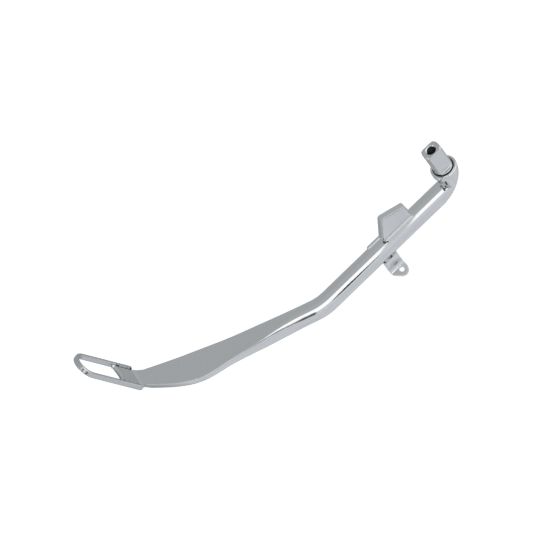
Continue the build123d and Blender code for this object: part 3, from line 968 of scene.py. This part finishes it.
class KICKSTAND_OT_pivot(bpy.types.Operator):
    """Make the pivot shank and finish the boss, seal and inner pieces"""

    bl_idname = "kickstand.pivot"
    bl_label = "Pivot"

    def execute(self, context):
        made = stock()
        # the hole's rings take the nearly black finish, painted shade inside the tapped hole
        shank = tube_piece(
            "shank_with_thread", shank_skin(), made["chrome_flats"], "shank",
            inner=made["thread_steel_painted_shade"], inner_rows=THREAD_RINGS + 2,
        )
        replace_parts(shank, "pivot_shank")
        finishes = {
            "pivot_boss": "chrome_plate",
            "dust_seal": "seal_rubber",
            "snap_ring": "ring_steel",
            "thrust_washer": "washer_steel",
            "pivot_bush": "bush_bronze",
        }
        for node, finish in finishes.items():
            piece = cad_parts[node]
            piece.data.materials.clear()
            piece.data.materials.append(made[finish])
        return {"FINISHED"}


def studio_world():
    """A soft studio round the part, as one gradient across the leg.

    Where a direction falls across the leg sets its light: grey over it, a white panel in the
    middle, and pale blue-grey under it. What the camera sees directly is plain white.
    """
    world = bpy.data.worlds.new("studio")
    bpy.context.scene.world = world
    world.use_nodes = True
    tree = world.node_tree
    tree.nodes.clear()
    link = tree.links.new
    place = put(tree, "ShaderNodeTexCoord")
    across = put(tree, "ShaderNodeVectorMath", operation="DOT_PRODUCT")
    across.inputs[1].default_value = (0.0, 0.803, 0.596)
    link(place.outputs["Generated"], across.inputs[0])
    share = put(tree, "ShaderNodeMapRange", in_1=-1.0, in_2=1.0)
    link(across.outputs["Value"], share.inputs[0])
    ramp = put(tree, "ShaderNodeValToRGB")
    link(share.outputs[0], ramp.inputs[0])
    stops = [
        (-1.0, (0.50, 0.53, 0.56)),
        (-0.75, (0.66, 0.69, 0.72)),
        (-0.48, (0.72, 0.75, 0.79)),
        (-0.41, (0.58, 0.60, 0.63)),
        (-0.36, (0.66, 0.67, 0.69)),
        (-0.28, (1.25, 1.25, 1.25)),
        (0.24, (1.25, 1.25, 1.25)),
        (0.34, (0.47, 0.485, 0.49)),
        (0.8, (0.46, 0.48, 0.485)),
        (1.0, (0.42, 0.44, 0.445)),
    ]
    ends = ramp.color_ramp.elements
    ends[0].position, ends[0].color = 0.0, (*stops[0][1], 1)
    ends[1].position, ends[1].color = 1.0, (*stops[-1][1], 1)
    for at, colour in stops[1:-1]:
        ends.new((at + 1) / 2).color = (*colour, 1)
    # a dark opening in the studio's left side with a small lamp in the middle of it
    window = put(tree, "ShaderNodeVectorMath", operation="DOT_PRODUCT")
    window.inputs[1].default_value = (-0.75, -0.554, 0.36)
    link(place.outputs["Generated"], window.inputs[0])
    ring = put(tree, "ShaderNodeValToRGB")
    link(window.outputs["Value"], ring.inputs[0])
    levels = ring.color_ramp.elements
    levels[0].position, levels[0].color = 0.895, (1, 1, 1, 1)
    levels[1].position, levels[1].color = 0.925, (0.12, 0.115, 0.11, 1)
    levels.new(0.975).color = (0.05, 0.05, 0.05, 1)
    levels.new(0.988).color = (1, 1, 1, 1)
    both = put(tree, "ShaderNodeMix", data_type="RGBA", blend_type="MULTIPLY")
    both.inputs["Factor"].default_value = 1.0
    link(ramp.outputs[0], both.inputs[6])
    link(ring.outputs[0], both.inputs[7])
    soft = put(tree, "ShaderNodeBackground")
    link(both.outputs[2], soft.inputs[0])
    plain = put(tree, "ShaderNodeBackground", in_Color=(1, 1, 1, 1))
    seen = put(tree, "ShaderNodeLightPath")
    mix = put(tree, "ShaderNodeMixShader")
    out = put(tree, "ShaderNodeOutputWorld")
    link(seen.outputs["Is Camera Ray"], mix.inputs[0])
    link(soft.outputs[0], mix.inputs[1])
    link(plain.outputs[0], mix.inputs[2])
    link(mix.outputs[0], out.inputs[0])


def card(name, x, lean, colour, outline):
    """A small studio card that only the plating sees, a quarter of a metre from the bar.

    lean is the slope, in degrees, of the bar's skin that shows it, counted from where the skin
    faces the camera. outline is along the bar and across it, in metres.
    """
    to_camera = np.array([-0.0878, -0.5935, 0.8])
    over = np.array([0.0, 0.803, 0.596])
    facing = np.array([0.0, -0.5958, 0.8032])
    normal = facing * math.cos(math.radians(lean)) + over * math.sin(math.radians(lean))
    toward = 2 * (normal @ to_camera) * normal - to_camera
    across = np.cross(toward, [1.0, 0, 0])
    across /= np.linalg.norm(across)
    distance = 0.25
    middle = np.array([x, 0, LEG_Z * MM]) + normal * BAR_R * MM + toward * distance
    shape = np.array(outline)
    points = middle + shape[:, :1] * np.array([1.0, 0, 0]) + shape[:, 1:] * across
    mesh = bpy.data.meshes.new(name)
    mesh.from_pydata(points.tolist(), [], [tuple(range(len(points)))])
    piece = bpy.data.objects.new(name, mesh)
    bpy.context.scene.collection.objects.link(piece)
    material = bpy.data.materials.new(name)
    material.use_nodes = True
    tree = material.node_tree
    tree.nodes.clear()
    glow = put(tree, "ShaderNodeEmission", in_Color=(*colour, 1))
    out = put(tree, "ShaderNodeOutputMaterial")
    tree.links.new(glow.outputs[0], out.inputs[0])
    mesh.materials.append(material)
    piece.visible_camera = False
    piece.visible_diffuse = False
    piece.visible_shadow = False


def pale_floor(low, half):
    """A plain white floor. The plating sees it grey instead: darker past the leg, a little mottled."""
    corners = [(-half, -half, low), (half, -half, low), (half, half, low), (-half, half, low)]
    mesh = bpy.data.meshes.new("floor")
    mesh.from_pydata(corners, [], [(0, 1, 2, 3)])
    floor = bpy.data.objects.new("floor", mesh)
    bpy.context.scene.collection.objects.link(floor)
    material = bpy.data.materials.new("pale_floor")
    material.use_nodes = True
    tree = material.node_tree
    tree.nodes.clear()
    link = tree.links.new
    seen = put(tree, "ShaderNodeLightPath")
    grey = put(tree, "ShaderNodeEmission")
    place = put(tree, "ShaderNodeTexCoord")
    parts = put(tree, "ShaderNodeSeparateXYZ")
    side = put(tree, "ShaderNodeMapRange", in_1=-0.02, in_2=0.08, interpolation_type="SMOOTHSTEP")
    mottle = put(tree, "ShaderNodeTexNoise", in_Scale=28.0, in_Detail=3.0)
    bright = put(tree, "ShaderNodeMapRange", in_1=0.3, in_2=0.7, in_3=0.88, in_4=1.06)
    blend = put(tree, "ShaderNodeMix", data_type="RGBA")
    blend.inputs[6].default_value = (0.66, 0.68, 0.715, 1)
    blend.inputs[7].default_value = (0.40, 0.415, 0.425, 1)
    link(place.outputs["Object"], parts.inputs[0])
    link(place.outputs["Object"], mottle.inputs["Vector"])
    link(parts.outputs["Y"], side.inputs[0])
    link(mottle.outputs["Fac"], bright.inputs[0])
    link(side.outputs[0], blend.inputs["Factor"])
    link(blend.outputs[2], grey.inputs["Color"])
    link(bright.outputs[0], grey.inputs["Strength"])
    pale = put(tree, "ShaderNodeEmission", in_Color=(1, 1, 1, 1), in_Strength=0.55)
    matt = put(tree, "ShaderNodeBsdfDiffuse", in_Color=(0.8, 0.8, 0.8, 1))
    both = put(tree, "ShaderNodeAddShader")
    mix = put(tree, "ShaderNodeMixShader")
    out = put(tree, "ShaderNodeOutputMaterial")
    link(pale.outputs[0], both.inputs[0])
    link(matt.outputs[0], both.inputs[1])
    link(seen.outputs["Is Camera Ray"], mix.inputs[0])
    link(grey.outputs[0], mix.inputs[1])
    link(both.outputs[0], mix.inputs[2])
    link(mix.outputs[0], out.inputs[0])
    mesh.materials.append(material)


def product_camera(lens):
    """A camera far enough off for its lens that the part keeps one size in the frame."""
    right = Vector((0.7167, -0.5954, -0.3631))
    back = Vector((-0.0878, -0.5935, 0.8)).normalized()
    up = back.cross(right).normalized()
    right = up.cross(back)
    camera = bpy.data.cameras.new("camera")
    camera.lens = lens
    camera.sensor_width = 36
    camera.clip_end = 40
    eye = bpy.data.objects.new("camera", camera)
    bpy.context.scene.collection.objects.link(eye)
    target = right * -0.1465 + up * -0.1040 + back * -0.033
    metres_per_lens_mm = 0.013243
    turn = Matrix((right, up, back)).transposed().to_4x4()
    eye.matrix_world = Matrix.Translation(target + back * metres_per_lens_mm * lens) @ turn
    bpy.context.scene.camera = eye


class KICKSTAND_OT_stage(bpy.types.Operator):
    """Make the floor, the studio light and the camera"""

    bl_idname = "kickstand.stage"
    bl_label = "Stage"

    def execute(self, context):
        stage = context.scene.kickstand_stage
        studio_world()
        pale_floor(CAD_BOX[0][2] - stage.floor_gap, stage.floor_size / 2)
        streak = [(-0.024, -0.016), (-0.010, -0.040), (0.034, -0.010)]
        streak += [(0.034, 0.010), (-0.006, 0.038), (-0.024, 0.018)]
        card("dark_card", -0.128, -12.1, (0.01, 0.01, 0.01), streak)
        slanted = [(-0.026, -0.09), (0.010, -0.09), (0.028, 0.09), (-0.010, 0.09)]
        card("grey_card", -0.067, 1.0, (0.62, 0.64, 0.66), slanted)
        product_camera(stage.lens)
        context.scene.view_settings.view_transform = "Standard"
        return {"FINISHED"}


class KICKSTAND_PT_panel(bpy.types.Panel):
    """Lists the kickstand's pieces and finishes"""

    bl_label = "Kickstand"
    bl_idname = "KICKSTAND_PT_panel"
    bl_space_type = "VIEW_3D"
    bl_region_type = "UI"
    bl_category = "Kickstand"

    def draw(self, context):
        scene = context.scene
        for group in (scene.kickstand_finish, scene.kickstand_welds, scene.kickstand_stage):
            box = self.layout.box()
            for key in group.__annotations__:
                box.prop(group, key)
        for operator in OPERATORS:
            self.layout.operator(operator.bl_idname)


OPERATORS = (
    KICKSTAND_OT_leg,
    KICKSTAND_OT_foot,
    KICKSTAND_OT_tabs,
    KICKSTAND_OT_welds,
    KICKSTAND_OT_pivot,
    KICKSTAND_OT_stage,
)
SETTINGS = (KickstandFinish, KickstandWelds, KickstandStage)


def register():
    for cls in (*SETTINGS, *OPERATORS, KICKSTAND_PT_panel):
        bpy.utils.register_class(cls)
    bpy.types.Scene.kickstand_finish = PointerProperty(type=KickstandFinish)
    bpy.types.Scene.kickstand_welds = PointerProperty(type=KickstandWelds)
    bpy.types.Scene.kickstand_stage = PointerProperty(type=KickstandStage)


def unregister():
    del bpy.types.Scene.kickstand_finish
    del bpy.types.Scene.kickstand_welds
    del bpy.types.Scene.kickstand_stage
    for cls in reversed((*SETTINGS, *OPERATORS, KICKSTAND_PT_panel)):
        bpy.utils.unregister_class(cls)


def main():
    register()
    bpy.ops.kickstand.leg()
    bpy.ops.kickstand.foot()
    bpy.ops.kickstand.tabs()
    bpy.ops.kickstand.welds()
    bpy.ops.kickstand.pivot()
    bpy.ops.kickstand.stage()


if __name__ == "__main__":
    main()
